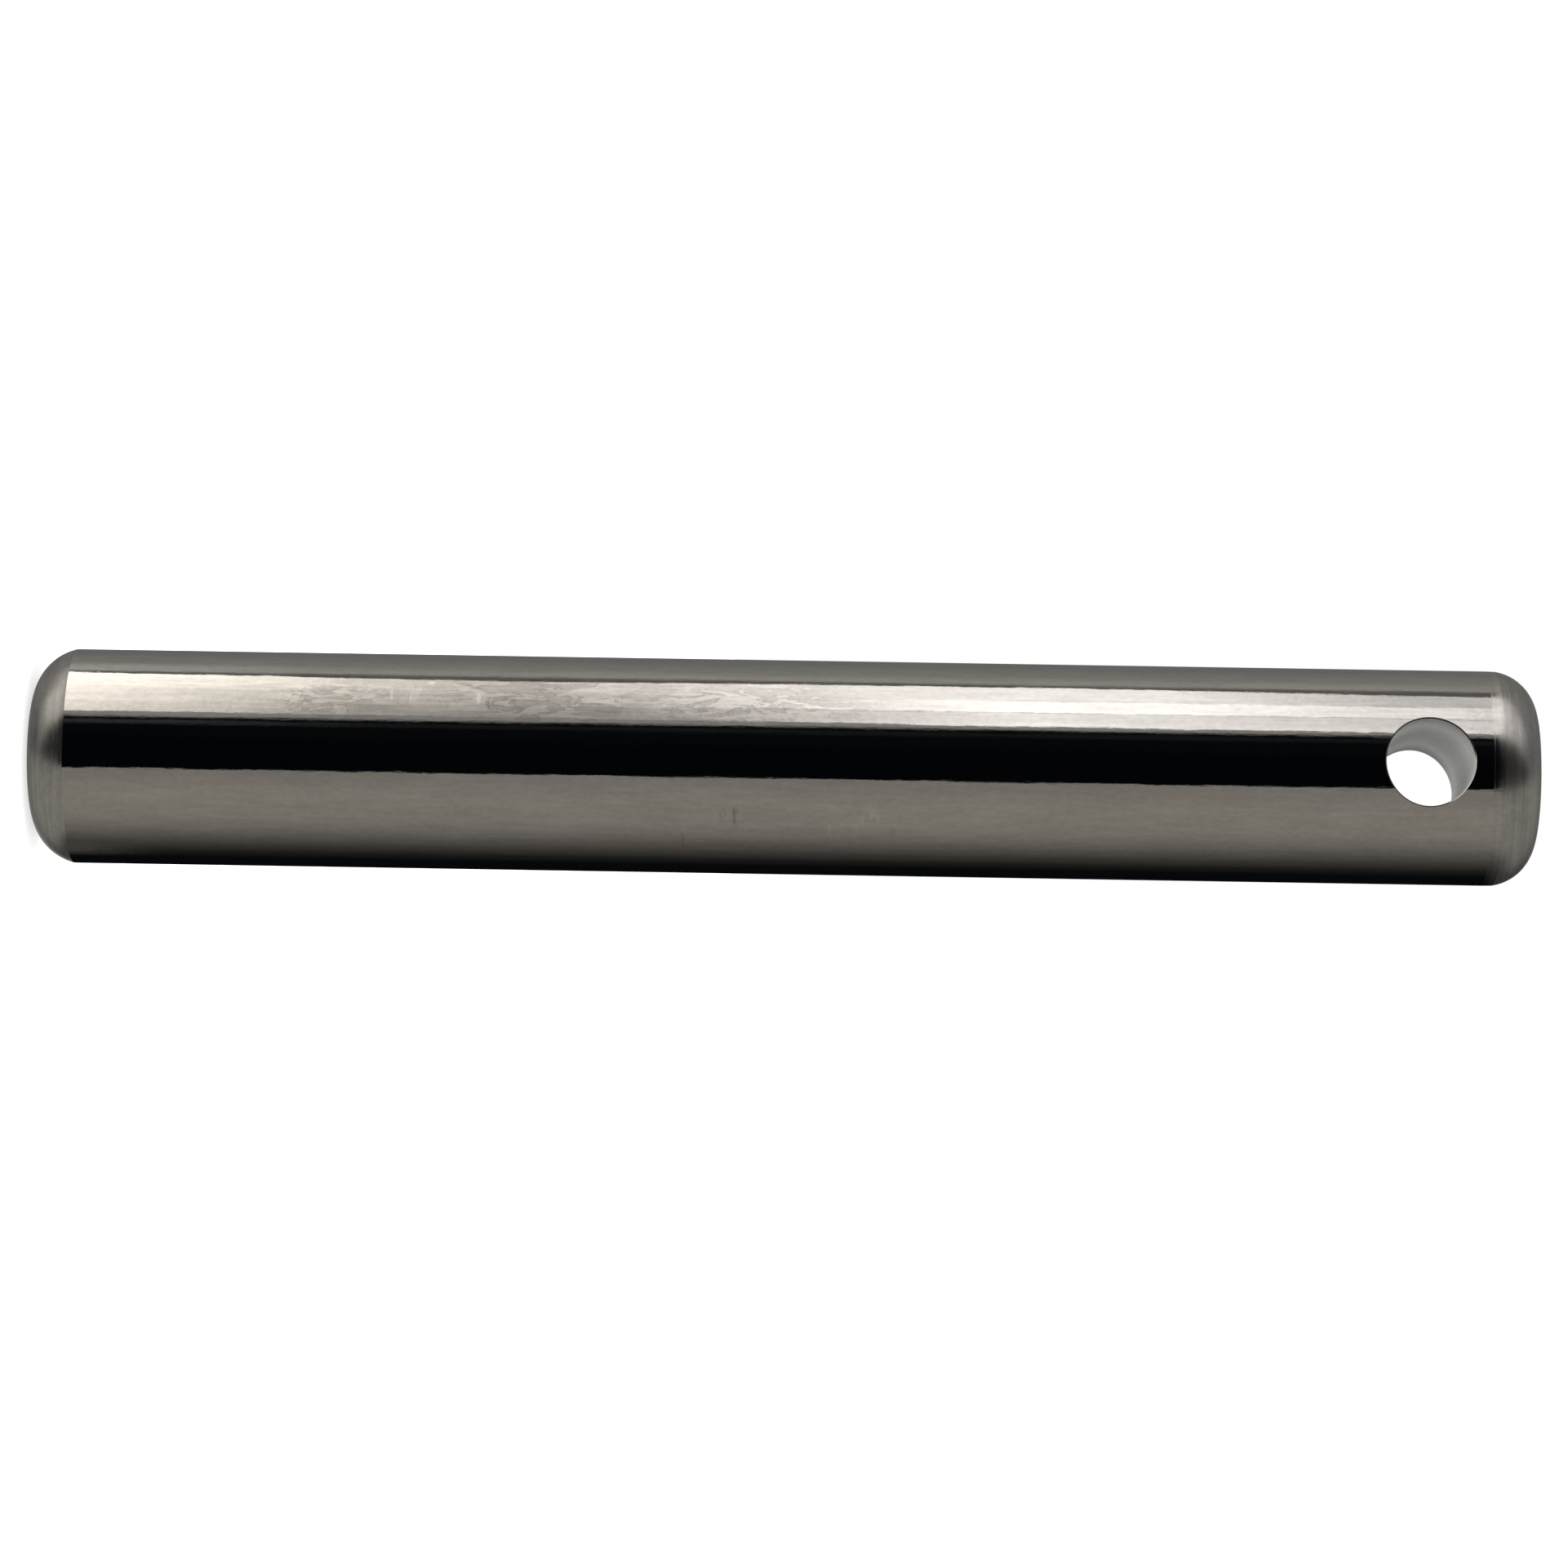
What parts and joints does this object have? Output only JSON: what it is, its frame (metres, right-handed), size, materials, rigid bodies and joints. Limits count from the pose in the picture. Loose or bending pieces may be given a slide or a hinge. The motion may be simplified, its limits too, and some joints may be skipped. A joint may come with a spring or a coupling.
{
  "type": "axle pin",
  "caption": "Straight round steel axle pin with a ground, mirror-bright shank, large turned radii at both ends and a plain hole drilled across it near one end for a retaining bolt or split pin.",
  "frame": {"origin": "centre of the plain end's flat face, on which the pin stands", "axes": "+Z along the pin's axis from the plain end to the drilled end; +Y along the axis of the cross hole"},
  "size_m": [0.0254, 0.0254, 0.1778],
  "materials": {
    "axle_pin": "shank ground and polished to a mirror, rounded ends left as turned, hole left as drilled"
  },
  "bodies": {
    "root": {"axle_pin": "axle_pin"}
  },
  "joints": []
}
